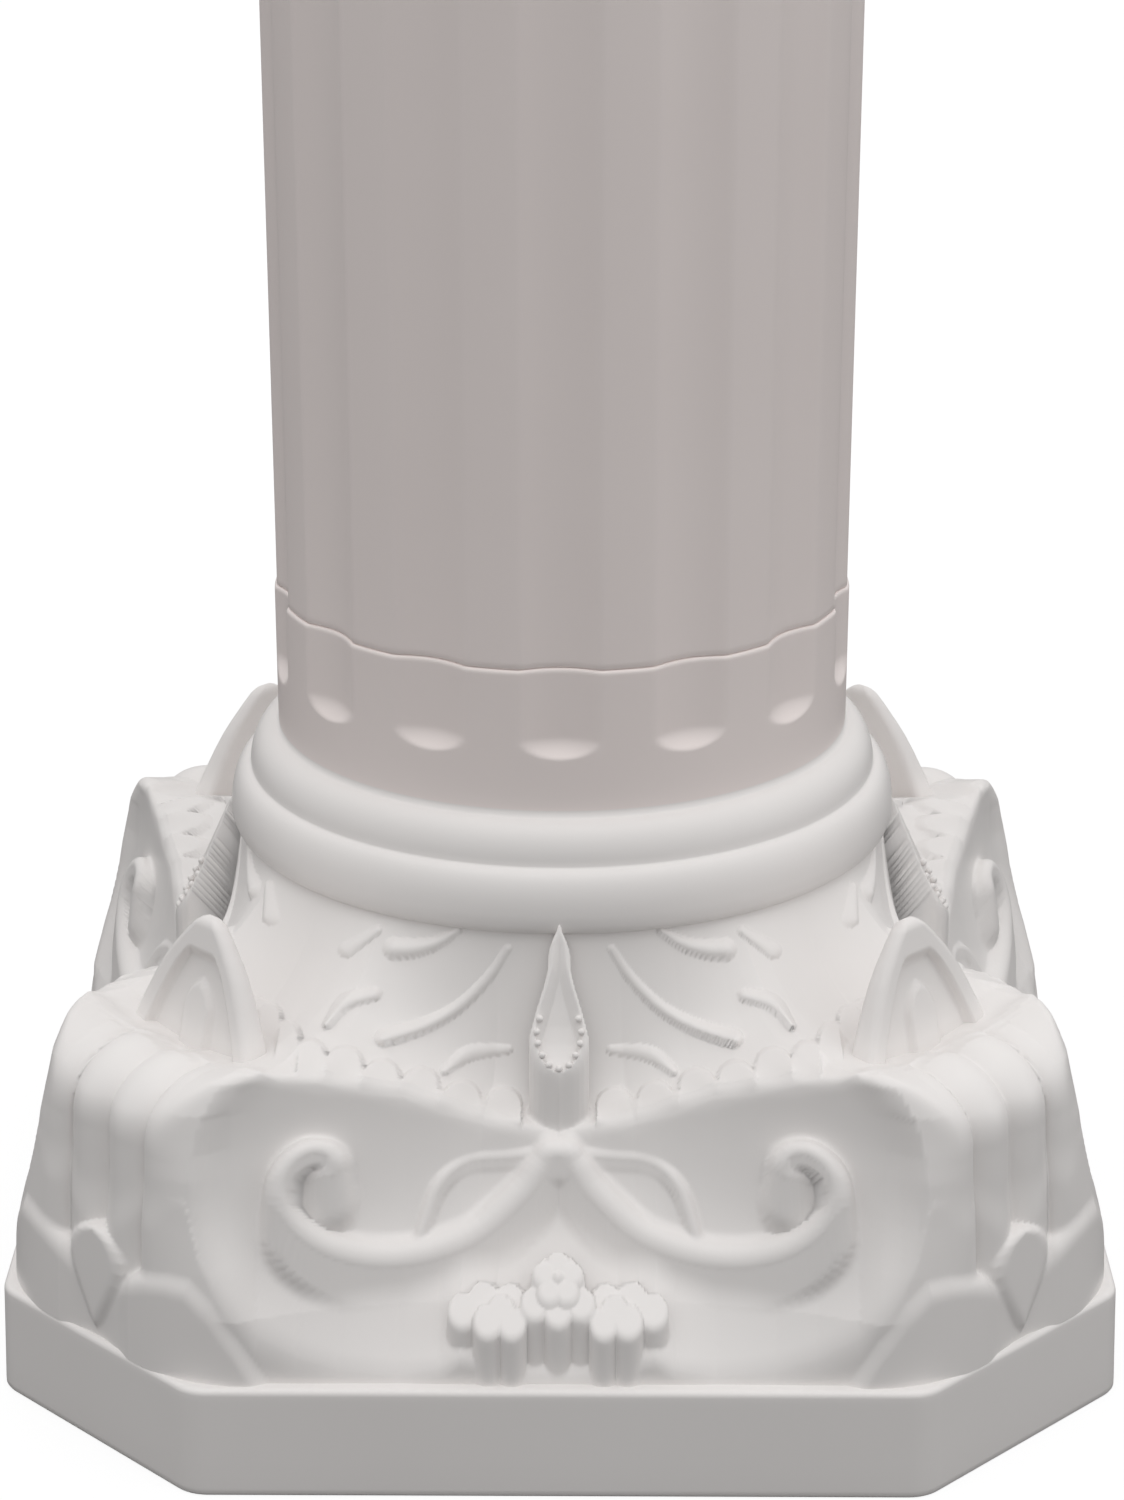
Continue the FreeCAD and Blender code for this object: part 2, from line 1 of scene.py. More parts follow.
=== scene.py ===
import math
import bpy
import numpy as np
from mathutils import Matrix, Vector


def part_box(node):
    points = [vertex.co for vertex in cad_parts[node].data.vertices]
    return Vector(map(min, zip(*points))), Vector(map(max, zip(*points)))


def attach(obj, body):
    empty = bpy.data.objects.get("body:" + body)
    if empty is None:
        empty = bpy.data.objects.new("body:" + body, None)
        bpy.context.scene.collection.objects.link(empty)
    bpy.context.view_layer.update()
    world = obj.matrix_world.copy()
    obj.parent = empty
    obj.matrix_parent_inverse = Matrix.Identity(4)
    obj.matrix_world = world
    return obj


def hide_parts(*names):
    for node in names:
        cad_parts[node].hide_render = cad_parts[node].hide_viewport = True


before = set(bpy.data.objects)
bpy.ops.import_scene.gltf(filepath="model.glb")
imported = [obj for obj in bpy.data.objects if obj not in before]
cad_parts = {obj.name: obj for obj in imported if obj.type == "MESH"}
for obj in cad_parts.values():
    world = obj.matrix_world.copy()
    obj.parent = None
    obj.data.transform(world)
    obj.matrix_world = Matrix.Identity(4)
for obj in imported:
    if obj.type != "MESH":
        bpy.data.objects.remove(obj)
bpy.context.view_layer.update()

# White plastic column pedestal: a carved foot, the same moulding turned over as the capital,
# and two fluted tubes between them. Lengths are in millimetres until a mesh is made.
mm = 0.001
root2 = math.sqrt(2.0)

# the camera stands in front of the foot and looks down at it: degrees, metres, lens in mm, pixels
eye = {"turn": 0.42, "back": 0.9532, "up": 0.4992, "down": 22.73, "lens": 90.8, "sensor": 36.0,
       "shift": 0.1, "near": 0.05, "wide": 1124, "high": 1500}
camData = bpy.data.cameras.new("camera")
camera = bpy.data.objects.new("camera", camData)
bpy.context.scene.collection.objects.link(camera)
camData.lens = eye["lens"]
camData.sensor_width = eye["sensor"]
camData.shift_y = eye["shift"]
camData.clip_start = eye["near"]
turned = math.radians(eye["turn"])
camera.location = (eye["back"] * math.sin(turned), -eye["back"] * math.cos(turned), eye["up"])
camera.rotation_euler = (math.radians(90.0 - eye["down"]), 0.0, turned)
bpy.context.scene.camera = camera
bpy.context.scene.render.resolution_x = eye["wide"]
bpy.context.scene.render.resolution_y = eye["high"]
bpy.context.scene.view_settings.view_transform = "Standard"
print("camera set")


def linear(hexCode):
    # an sRGB hex colour as the linear values that a shader takes
    parts = [int(hexCode[i:i + 2], 16) / 255 for i in (1, 3, 5)]
    return tuple(p / 12.92 if p <= 0.04045 else ((p + 0.055) / 1.055) ** 2.4 for p in parts) + (1.0,)


def addNode(tree, kind, links=None, **settings):
    # a setting names a property or an input of the node, and a link gives an input its source
    node = tree.nodes.new(kind)
    for key, value in settings.items():
        if hasattr(node, key):
            setattr(node, key, value)
        else:
            node.inputs[key.replace("_", " ")].default_value = value
    for key, source in (links or {}).items():
        tree.links.new(source, node.inputs[key])
    return node


def cloudedMaterial(name, look):
    # the base colour drifts between two shades, in patches of the look's cloud size
    material = bpy.data.materials.new(name)
    material.use_nodes = True
    tree = material.node_tree
    shader = tree.nodes["Principled BSDF"]
    place = addNode(tree, "ShaderNodeTexCoord").outputs["Object"]
    cloud = addNode(tree, "ShaderNodeTexNoise", {"Vector": place}, Scale=1 / (look["cloud"] * mm),
                    Detail=look["detail"])
    shade = addNode(tree, "ShaderNodeMix", {0: cloud.outputs["Fac"]}, data_type="RGBA")
    shade.inputs[6].default_value = linear(look["low"])  # inputs 6 and 7 are the two colours
    shade.inputs[7].default_value = linear(look["high"])
    tree.links.new(shade.outputs[2], shader.inputs["Base Color"])
    return material, tree, shader, place


def plasticMaterial(name, look):
    # the mould's grain gives a satin sheen: it shifts the roughness and barely lifts the surface
    material, tree, shader, place = cloudedMaterial(name, look)
    grain = addNode(tree, "ShaderNodeTexNoise", {"Vector": place}, Scale=1 / (look["grain"] * mm), Detail=3.0)
    rough = addNode(tree, "ShaderNodeMapRange", {"Value": grain.outputs["Fac"]},
                    To_Min=look["rough"] - look["spread"], To_Max=look["rough"] + look["spread"])
    bump = addNode(tree, "ShaderNodeBump", {"Height": grain.outputs["Fac"]}, Strength=look["bump"],
                   Distance=look["relief"] * mm)
    tree.links.new(rough.outputs["Result"], shader.inputs["Roughness"])
    tree.links.new(bump.outputs["Normal"], shader.inputs["Normal"])
    shader.inputs["IOR"].default_value = look["ior"]
    shader.inputs["Specular IOR Level"].default_value = look["shine"]
    return material


# moulded polypropylene; the real grain is far below 1 mm, drawn coarser so that it shows at all
satin = {"low": "#E9E5E3", "high": "#EEEBE9", "cloud": 71.4, "detail": 2.0, "grain": 1.11, "rough": 0.42,
         "spread": 0.05, "bump": 0.05, "relief": 0.2, "ior": 1.49, "shine": 0.35}
whitePlastic = plasticMaterial("satin_white_polypropylene", satin)
# the tubes have the same sheen and are tinted a shade warmer than the mouldings: painted warm light that falls on
# their upright faces
paintedWarmLightPlastic = plasticMaterial("satin_white_polypropylene_painted_warm_light", {**satin, "low": "#EDE3E0", "high": "#F1E8E5"})
# the sleeve is hidden in the column and guessed to be plainer: duller and greyer
innerPlastic = plasticMaterial("matt_white_polypropylene", {
    **satin, "low": "#DEDAD7", "high": "#E6E3E0", "cloud": 50.0, "grain": 1.43, "rough": 0.6, "bump": 0.08,
    "shine": 0.25})

# zinc-plated screw steel: cool grey with a fine cloudy spangle
zinc = {"low": "#A6A7AA", "high": "#C3C4C6", "cloud": 1.67, "detail": 4.0, "rough": 0.36}
screwSteel, _, screwShader, _ = cloudedMaterial("zinc_plated_steel", zinc)
screwShader.inputs["Metallic"].default_value = 1.0
screwShader.inputs["Roughness"].default_value = zinc["rough"]
print("materials set")


def finishPiece(name, mesh, node):
    # a mesh takes the place of the CAD node, on the one fixed body
    piece = bpy.data.objects.new(name, mesh)
    bpy.context.scene.collection.objects.link(piece)
    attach(piece, "root")
    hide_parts(node)
    return piece


def meshPiece(name, points, faces, material, node, normals=None):
    mesh = bpy.data.meshes.new(name)
    mesh.from_pydata((np.asarray(points) * mm).tolist(), [], [list(f) for f in faces])
    mesh.shade_smooth()
    if normals is not None:
        mesh.normals_split_custom_set_from_vertices(normals.tolist())
    mesh.materials.append(material)
    mesh.update()
    return finishPiece(name, mesh, node)


def gridFaces(rows, columns, closed=False):
    # quads of a grid whose rows go up and whose columns go round, seen from outside
    index = np.arange(rows * columns).reshape(rows, columns)
    right = np.roll(index, -1, axis=1) if closed else index[:, 1:]
    left = index if closed else index[:, :-1]
    return np.stack([left[:-1], right[:-1], right[1:], left[1:]], -1).reshape(-1, 4)


def turnedOver(points, faces, node):
    # the capital is the foot's moulding upside down, so its faces wind the other way
    points[:, 2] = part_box(node)[1][2] / mm - points[:, 2]
    return points, [face[::-1] for face in faces]


def turnedBy(x, y, quarter):
    for k in range(quarter):
        x, y = -y, x
    return x, y


def along(x, table, key):
    return np.interp(x, table[key[0]], table[key[1]])


# A form is a number at each point, more than 0 inside it and about its depth in millimetres.
# x runs along a side from its middle, q out from the axis and z up: 0 <= x <= q is one eighth.
def meet(a, b, soft):
    # what two forms share, its edge rounded
    h = np.maximum(soft - np.abs(a - b), 0) / soft
    return np.minimum(a, b) - h * h * soft * 0.25


def join(a, b, soft):
    # two forms run together, the corner between them filled
    return -meet(-a, -b, soft)


def fade(value, start, length):
    # 0 before the start, 1 past the length
    return np.clip((value - start) / length, 0, 1)


# the trumpet of the bell, its lower edge by the angle round the axis
bell = {"turn": [0, 10, 19, 26.6, 29, 31.1, 34.5, 38, 45],
        "radius": [107.5, 109, 117.6, 130.6, 136.6, 141, 141, 138, 133],
        "height": [82, 85.8, 94.6, 100.9, 102.6, 103.6, 102, 100, 98],
        "top": 127.5, "neck": 86.0, "power": 4.0, "fall": 1.2, "slope": 0.6}


def bellEdge(x, q, key):
    return along(np.degrees(np.arctan2(x, q)), bell, ("turn", key))


def bellHeight(x, q):
    r = np.hypot(x, q)
    edge, low = bellEdge(x, q, "radius"), bellEdge(x, q, "height")
    t = np.clip((r - bell["neck"]) / (edge - bell["neck"]), 0, 1)
    z = low + (bell["top"] - low) * (1 - t) ** bell["power"]
    return z - bell["fall"] * np.maximum(r - edge, 0)


# each side is a bowl dished in from the leaning wall, between a brow line and a round lip
face = {"z": [29, 46, 57, 69, 80, 90, 96, 103, 108, 116],
        "q": [140.2, 140.2, 138, 135.1, 132.9, 130.1, 128.6, 125.5, 121.2, 111]}
brow = {"x": [0, 8, 19, 38, 58, 66, 73, 80],
        "q": [106.8, 106.6, 107.3, 111.3, 117.0, 119.4, 121.4, 123.2],
        "z": [82, 82.8, 86.2, 95, 101.3, 103.0, 104.2, 104.6]}
lip = {"x": [0, 15, 20, 24, 29, 39, 54, 64, 74, 79, 84, 88, 91],
       "z": [31.5, 32, 35.5, 36.5, 33, 31, 32.5, 36, 42, 50, 56, 63, 76]}
shoulder = {"z": [30, 60, 74, 86, 95, 101, 106], "x": [91.5, 91.5, 90.8, 89.5, 87, 83.5, 79],
            "wide": 15.0, "power": 2.6}
dish = {"even": 0.42, "early": 0.58, "power": 2.5, "above": 0.35, "below": 1.6}


def bowlReach(x, z):
    wall = along(z, face, ("z", "q"))
    top, low = along(x, brow, ("x", "z")), along(x, lip, ("x", "z"))
    t = (z - low) / (top - low)
    up = np.clip(t, 0, 1)
    deep = dish["even"] * up + dish["early"] * (1 - (1 - up) ** dish["power"])
    deep = deep + dish["above"] * np.clip(t - 1, 0, 1) + dish["below"] * np.minimum(t, 0)
    s = np.clip((along(z, shoulder, ("z", "x")) - x) / shoulder["wide"], 0, 1)
    share = np.where(t > 0, 1 - (1 - s) ** shoulder["power"], 1)
    return wall - np.maximum(wall - along(x, brow, ("x", "q")), 0) * deep * share


# upright rolls round each corner: a is the way along the corner, rho out through it
roll = {"pitch": 14.3, "groove": 157.7, "proud": 3.7, "notch": 0.004, "bulge": 0.36, "crest": 22.0, "side": 7.7,
        "back": 140.0, "waist": 84.0, "rise": 18.2, "grooveDrop": 0.6, "endSlope": 0.8, "end": 39.0,
        "swell": (20, 9, 2.6), "sag": (33, 13, 6.0),  # start, length and height
        "flareZ": [29, 52, 84], "flare": [3.4, 1.9, 0], "dipRho": [112, 131, 136, 140], "dip": [12, 5.5, 1.5, 0]}
# how softly each form runs into its neighbour
blend = {"rollEnd": 6.0, "bell": 4.0, "brow": 2.2, "corner": 10.0, "wall": 3.0}


def rollRadius(a):
    near = (np.sin(np.pi * np.clip(a / roll["pitch"], 0, 1)) ** 2 + roll["notch"]) ** roll["bulge"]
    far = np.sqrt(1 - np.clip((roll["crest"] - a) / roll["side"], 0, 1) ** 2)
    return roll["groove"] + roll["proud"] * np.where(a < roll["pitch"], near, far)


def cornerAxes(x, q):
    return (x + q) / root2, np.abs(q - x) / root2


def body(x, q, z):
    # the moulding's plain form: bell, rolled corners and dished sides
    rho, a = cornerAxes(x, q)
    flare = along(z, roll, ("flareZ", "flare"))
    radius = rollRadius(a)
    wide = radius - roll["back"]
    tall = roll["rise"] - (roll["groove"] + roll["proud"] - radius) * roll["grooveDrop"]
    tall = tall + roll["swell"][2] * fade(a, *roll["swell"][:2]) - roll["sag"][2] * fade(a, *roll["sag"][:2]) ** 2
    over = np.hypot(np.maximum(rho - roll["back"], 0) / wide, np.maximum(z - roll["waist"], 0) / tall)
    outer = rho > roll["back"]
    crown = np.where(outer, (1 - over) * np.minimum(wide, tall),
                     roll["waist"] + tall - along(rho, roll, ("dipRho", "dip")) - z)
    crown = np.where((z < roll["waist"]) & outer, (radius + flare - rho) * np.minimum(wide, tall) / wide, crown)
    crown = meet(crown, (roll["end"] - a) * roll["endSlope"], blend["rollEnd"])
    solid = join((bellHeight(x, q) - z) * bell["slope"], crown, blend["bell"])
    solid = meet(solid, bowlReach(x, z) - q, blend["brow"])
    wall = meet(along(z, face, ("z", "q")) - q, radius + flare - rho, blend["corner"])
    return meet(solid, wall, blend["wall"])


# strands in a bowl, as points x, q, z and radius: the scroll, the vein that leaves it, and a knob
scroll = {"skirt": 9.0, "soft": 1.8, "line": (
    (2, 107.5, 77, 3.8), (5, 109, 73, 4.3), (9, 111, 67.5, 4.7), (19, 115.3, 59.3, 5.1), (29, 118.8, 55.6, 5.4),
    (39, 121.3, 54.3, 5.6), (49, 123.3, 55.4, 5.6), (58, 125.4, 59.2, 5.2), (64.5, 126.6, 64.6, 4.6),
    (68.3, 126.8, 71, 3.9), (68.5, 125.6, 77.5, 3.2), (65.8, 123.8, 82, 2.8), (61.5, 122, 84.3, 2.7),
    (57.5, 120.8, 83.4, 3.0), (55.8, 120, 80.2, 4.4), (57, 119.6, 77.2, 5.4), (60.2, 113.5, 74.8, 10.2))}
vein = {"skirt": 7.0, "soft": 0.8, "line": (
    (4, 106.5, 76, 2.4), (14, 107.5, 75.5, 2.1), (21.5, 109, 75.5, 2.0), (26.5, 111.5, 74, 1.9),
    (30.5, 114.5, 70, 1.9), (33, 118, 63.5, 1.8), (34.5, 120.5, 59, 1.6))}
knob = {"skirt": 6.0, "soft": 1.0, "line": ((0, 108.5, 77, 3.4), (2.6, 108.6, 76.8, 3.2))}
# a strand's side under its line leans out a little; thin strands have less of it
strand = {"lean": 0.15, "thin": 2.8, "thick": 3.7, "thinShare": 0.2, "withinX": 80, "beyondQ": 88, "belowZ": 98}


def smoothLine(points, steps=4):
    # a curve through all the points, with a few steps between each two
    p = np.array(points, dtype=float)
    ext = np.vstack([2 * p[0] - p[1], p, 2 * p[-1] - p[-2]])
    out = []
    for k in range(len(p) - 1):
        a, b, c, d = ext[k:k + 4]
        for t in np.arange(steps) / steps:
            out.append(0.5 * (2 * b + (c - a) * t + (2 * a - 5 * b + 4 * c - d) * t * t
                              + (3 * b - a - 3 * c + d) * t ** 3))
    return np.vstack(out + [p[-1]])


def strandForm(x, q, z, shape):
    # round above its line; below it the side drops nearly straight for a way
    best = np.full(x.shape, -99.0)
    line = smoothLine(shape["line"])
    for a, b in zip(line[:-1], line[1:]):
        ex, eq, ez = b[0] - a[0], b[1] - a[1], b[2] - a[2]
        k = ((x - a[0]) * ex + (q - a[1]) * eq + (z - a[2]) * ez) / (ex * ex + eq * eq + ez * ez)
        k = np.clip(k, 0, 1)
        d = np.sqrt((x - a[0] - k * ex) ** 2 + (q - a[1] - k * eq) ** 2 + (z - a[2] - k * ez) ** 2)
        best = np.maximum(best, a[3] + k * (b[3] - a[3]) - d)
        k = np.clip(((x - a[0]) * ex + (q - a[1]) * eq) / (ex * ex + eq * eq + 1e-6), 0, 1)
        radius = a[3] + k * (b[3] - a[3])
        skirt = shape["skirt"] * np.interp(radius, [strand["thin"], strand["thick"]], [strand["thinShare"], 1])
        drop = a[2] + k * ez - z
        d = np.hypot(x - a[0] - k * ex, q - a[1] - k * eq)
        side = radius + strand["lean"] * drop - np.hypot(d, np.maximum(drop - skirt, 0))
        best = np.where(drop > 0, np.maximum(best, side), best)
    return best


def addStrands(solid, x, q, z):
    near = (x < strand["withinX"]) & (q > strand["beyondQ"]) & (z < strand["belowZ"])
    for shape in (scroll, vein, knob):
        form = np.full(x.shape, -99.0)
        form[near] = strandForm(x[near], q[near], z[near], shape)
        solid = join(solid, form, shape["soft"])
    return solid


# low relief on the bell, drawn on a plane tilted to the eye: w is the height less tilt times q
tilt = 0.42
relief = {"margin": 0.5, "fade": 3, "low": 82, "lowFade": 2}
# each stroke: its points (x, w), half widths and rise
strokes = (
    (((13, 86.5), (18, 78.5), (25.5, 70.5), (34, 65.5), (43.5, 62.5)), (1.2, 1.5, 1.9, 2.3, 2.6), 1.9),
    (((25.5, 91.5), (31, 88), (37, 86.5), (41.5, 86.5)), (1.2, 2.0, 2.8, 3.2), 2.2),
    (((46, 91.5), (54, 86)), (1.4, 2.4), 0.9),
    (((46.5, 74), (53.5, 72), (58, 66)), (2.0, 2.4, 1.2), 1.2),
    (((13, 59), (22.5, 58), (28.5, 53.5)), (1.4, 2.4, 1.4), 1.1),
)
# a frill lies on the bell: raised under a row of round tops (x, w), fading out below
frill = {"tops": ((14, 49.2), (24.3, 51), (34.5, 54.8), (44, 57), (53.2, 60.6), (62, 62.5), (69, 67), (75, 72)),
         "half": 4.7, "edge": 1.1, "rise": 0.9, "fade": 8.0, "full": 1.2, "lift": 1.0, "start": (8, 24),
         "end": 79, "endFade": 3}


def strokeHeight(x, w, line, widths, rise):
    high = np.zeros(x.shape)
    line = smoothLine([(p[0], p[1], half) for p, half in zip(line, widths)])
    for (a, b, wa, wb) in zip(line[:-1], line[1:], line[:-1, 2], line[1:, 2]):
        ex, ew = b[0] - a[0], b[1] - a[1]
        k = np.clip(((x - a[0]) * ex + (w - a[1]) * ew) / (ex * ex + ew * ew), 0, 1)
        d = np.hypot(x - a[0] - k * ex, w - a[1] - k * ew) / (wa + k * (wb - wa))
        high = np.maximum(high, rise * np.maximum(1 - d * d, 0))
    return high


def frillHeight(x, w):
    centres = np.array(frill["tops"]) - (0, frill["half"])
    line = np.interp(x, [frill["start"][0], *centres[:, 0]],
                     [frill["start"][1], *(centres[:, 1] + frill["lift"])])
    for cx, cw in centres:
        arc = np.sqrt(np.maximum(frill["half"] ** 2 - (x - cx) ** 2, 0))
        line = np.where(arc > 0, np.maximum(line, cw + arc), line)
    share = np.clip((line - w) / frill["edge"], 0, 1) * np.clip(frill["full"] - (line - w) / frill["fade"], 0, 1)
    share = share * np.clip((frill["end"] - x) / frill["endFade"], 0, 1)
    return frill["rise"] * np.sin(np.minimum(share, 1) * math.pi / 2)


def addRelief(solid, x, q, z):
    w = z - tilt * q
    high = np.zeros(x.shape)
    for line, widths, rise in strokes:
        high = np.maximum(high, strokeHeight(x, w, line, widths, rise))
    high = np.maximum(high, frillHeight(x, w))
    inside = bellEdge(x, q, "radius") - np.hypot(x, q)
    return solid + high * fade(inside, relief["margin"], relief["fade"]) * fade(z, relief["low"], relief["lowFade"])


# lily: a proud spoon whose outline drops straight down to the bell
lily = {"q": [89, 91.1, 93.4, 95.5, 97.7, 100, 101.9, 103.4, 104.4, 105.1, 105.5, 106.5],
        "z": [131, 126.5, 121.4, 116.5, 111.5, 107.2, 104, 101.4, 99.6, 98.4, 97.6, 95.5],
        "half": [0.8, 2.8, 3.2, 4.6, 6.3, 7.6, 7.3, 6.3, 5.0, 3.4, 1.2, -2.5],
        "rim": 1.5, "rimSoft": 1.6, "sink": 2.2, "steep": 0.45, "sideSteep": 0.7, "soft": 1.0, "edgeSoft": 1.6,
        "back": 89, "long": 17, "aboveZ": 80, "beyondQ": 87}


def addLily(solid, x, q, z):
    half = along(q, lily, ("q", "half"))
    hollow = np.sin(math.pi * fade(q, lily["back"], lily["long"]))
    sunk = lily["sink"] * hollow * np.clip((half - lily["rim"] - x) / lily["rimSoft"], 0, 1)
    pad = meet((along(q, lily, ("q", "z")) - z) * lily["steep"] - sunk, (half - x) * lily["sideSteep"],
               lily["edgeSoft"])
    return join(solid, np.where((z > lily["aboveZ"]) & (q > lily["beyondQ"]), pad, -9), lily["soft"])


# a posy: round lobes (x, q, radius, tier) with upright sides, and a five-petalled blossom on the middle one
posy = {"lobes": ((11.3, 138.0, 3.6, 0), (17.2, 137.6, 3.8, 0), (14.0, 135.5, 3.6, 0), (0, 131.0, 6.9, 1),
                  (5.7, 134.6, 3.7, 1), (0, 136.2, 3.6, 1), (23.4, 134.2, 4.0, 2), (18.3, 132.4, 4.4, 2),
                  (12.0, 132.6, 4.2, 2)),
        "drop": (0.2, -0.6, 1.9), "height": 44.9, "reach": 139.2, "slope": 0.83, "steep": 0.77, "edge": 1.3,
        "soft": 0.6}
blossom = {"centre": 130.6, "petals": 5, "petal": 3.3, "ring": 3.6, "squash": 0.9, "lift": 1.9, "petalEdge": 1.8,
           "petalSoft": 0.2, "button": 1.5, "proud": 0.9, "buttonEdge": 1.6, "buttonSoft": 0.3}


def addPosy(solid, x, q, z):
    top = posy["height"] + (posy["reach"] - q) * posy["slope"]

    def upTo(height, plan, edge):
        return meet(plan, (height - z) * posy["steep"], edge)

    for level, drop in enumerate(posy["drop"]):
        plan = np.full(x.shape, -99.0)
        for cx, cq, r, tier in posy["lobes"]:
            if tier == level:
                plan = np.maximum(plan, r - np.hypot(x - cx, q - cq))
        solid = join(solid, upTo(top - drop, plan, posy["edge"]), posy["soft"])
    top = top + blossom["lift"]
    for k in range(blossom["petals"]):
        turn = math.pi / 2 + 2 * math.pi * k / blossom["petals"]
        px = blossom["ring"] * math.cos(turn)
        pq = blossom["centre"] - blossom["squash"] * blossom["ring"] * math.sin(turn)
        plan = blossom["petal"] - np.hypot(np.abs(x) - abs(px), (q - pq) / blossom["squash"])
        solid = join(solid, upTo(top, plan, blossom["petalEdge"]), blossom["petalSoft"])
    plan = blossom["button"] - np.hypot(x, (q - blossom["centre"]) / blossom["squash"])
    return join(solid, upTo(top + blossom["proud"], plan, blossom["buttonEdge"]), blossom["buttonSoft"])


# petals lie against each corner: a pair of broad ones, and a heart between them
petal = {"a": [0, 6, 13, 20.5, 27, 32.5, 38, 43.5, 48.3, 51],
         "z": [42, 47, 51.5, 54.8, 56.3, 56.2, 51, 42, 30.5, 22],
         "out": 166.0, "front": 142.0, "lean": 0.05, "foot": 30, "corner": 12.0, "tuck": (14, 8, 1.6),
         "steep": 0.8, "edge": 5.0, "soft": 1.0}
heart = {"z": [30.5, 34, 38, 42, 46, 50, 53, 55.5, 57.5, 59, 60, 60.6],
         "half": [0, 3.2, 5.6, 8.0, 10.2, 11.4, 11.2, 9.9, 8, 5.2, 2, -2], "out": 166.0, "soft": 0.8}


def addPetals(solid, x, q, z):
    rho, a = cornerAxes(x, q)
    lean = petal["lean"] * (z - petal["foot"])
    out = meet(petal["out"] - lean - rho, petal["front"] - lean - q, petal["corner"])
    tuckEnd, tuckLong, tuckDeep = petal["tuck"]
    out = out - tuckDeep * np.clip((tuckEnd - a) / tuckLong, 0, 1)
    side = meet((along(a, petal, ("a", "z")) - z) * petal["steep"], out, petal["edge"])
    middle = meet(along(z, heart, ("z", "half")) - a, heart["out"] - lean - rho, petal["edge"])
    return join(join(solid, side, petal["soft"]), middle, heart["soft"])


def carved(x, q, z):
    solid = body(x, q, z)
    for add in (addRelief, addLily, addStrands, addPosy, addPetals):
        solid = add(solid, x, q, z)
    return solid


# one eighth of the carving is sampled along rays from a point under the foot's middle
sampling = {"source": -20.0, "low": 28.7, "high": 128.6, "neck": 86.0, "columns": 184,
            "rows": 196, "share": [0, 0.2, 0.65, 1], "turn": [0, 7, 29, 45],
            "far": 176.0, "ceiling": 134, "contour": 0.1, "trial": 90, "longestRun": 4.0,
            "coarse": (1.0, 130), "ahead": 17.0, "fine": (0.5, 42), "halvings": 9, "slopeStep": 0.15}


def formNormal(x, q, z):
    step = sampling["slopeStep"]
    dx = carved(x + step, q, z) - carved(np.abs(x - step), q, z)
    dq = carved(x, q + step, z) - carved(x, q - step, z)
    dz = carved(x, q, z + step) - carved(x, q, z - step)
    length = np.sqrt(dx * dx + dq * dq + dz * dz) + 1e-9
    return -dx / length, -dq / length, -dz / length


def rayPoint(turn, rise, reach):
    level = reach * np.cos(rise)
    return level * np.sin(turn), level * np.cos(turn), sampling["source"] + reach * np.sin(rise)


def outermost(turn, rise, start, step, count, test):
    # walk in along each ray until it is inside the form, then halve the last step
    reach = np.array(start, dtype=float)
    found = np.zeros(reach.shape, bool)
    for k in range(count):
        found |= test(*rayPoint(turn, rise, reach)) > 0
        reach = np.where(found, reach, reach - step)
        if found.all():
            break
    low, high = reach, reach + step
    for k in range(sampling["halvings"]):
        middle = (low + high) / 2
        inside = test(*rayPoint(turn, rise, middle)) > 0
        low, high = np.where(inside, middle, low), np.where(inside, high, middle)
    return (low + high) / 2


def carvedEighth():
    columns, rows, source = sampling["columns"], sampling["rows"], sampling["source"]
    turn = np.interp(np.linspace(0, 1, columns), sampling["share"], sampling["turn"]) * math.pi / 180
    # the foot's contour just under the ledge gives the lowest ray of each column
    reach = np.full(columns, sampling["far"])
    found = np.zeros(columns, bool)
    while not found.all():
        found |= carved(reach * np.sin(turn), reach * np.cos(turn), np.full(columns, sampling["low"])) > 0
        reach = np.where(found, reach, reach - sampling["contour"])
    lowRise = np.arctan2(sampling["low"] - source, reach)
    highRise = math.atan2(sampling["high"] - source, sampling["neck"])
    share = np.linspace(0, 1, sampling["trial"])
    for attempt in range(2):
        rise = lowRise[None, :] + share[:, None] * (highRise - lowRise[None, :])
        turns = np.broadcast_to(turn, rise.shape)
        start = np.minimum(sampling["far"] / np.cos(rise), (sampling["ceiling"] - source) / np.sin(rise))
        hit = outermost(turns, rise, start, *sampling["coarse"], body)
        if attempt == 0:
            # the first pass spreads the rows evenly over the surface
            steps = [np.diff(part, axis=0) ** 2 for part in rayPoint(turns, rise, hit)]
            run = np.minimum(np.sqrt(steps[0] + steps[1] + steps[2]), sampling["longestRun"])
            length = np.concatenate([[0], np.cumsum(run.mean(axis=1))])
            share = np.interp(np.linspace(0, length[-1], rows), length, share)
    hit = outermost(turns, rise, hit + sampling["ahead"], *sampling["fine"], carved)
    x, q, z = rayPoint(turns, rise, hit)
    nx, nq, nz = formNormal(x, q, z)
    # the eighths meet without a crease
    nx[:, 0] = 0
    nx[:, -1] = nq[:, -1] = (nx[:, -1] + nq[:, -1]) / 2
    q[:, -1] = x[:, -1]
    return (x, q, z), (nx, nq, nz)


eighth, eighthNormal = carvedEighth()
print("foot sampled")


def quarterSheet(parts):
    # columns run from the left diagonal over the front to the right one
    x, q, z = parts
    flip = slice(None, 0, -1)
    return (np.concatenate([-x[:, flip], x], axis=1), np.concatenate([-q[:, flip], -q], axis=1),
            np.concatenate([z[:, flip], z], axis=1))


def quarterPoints(sheet, quarter):
    x, y = turnedBy(sheet[0], sheet[1], quarter)
    return np.stack([x, y, sheet[2]], -1).reshape(-1, 3)


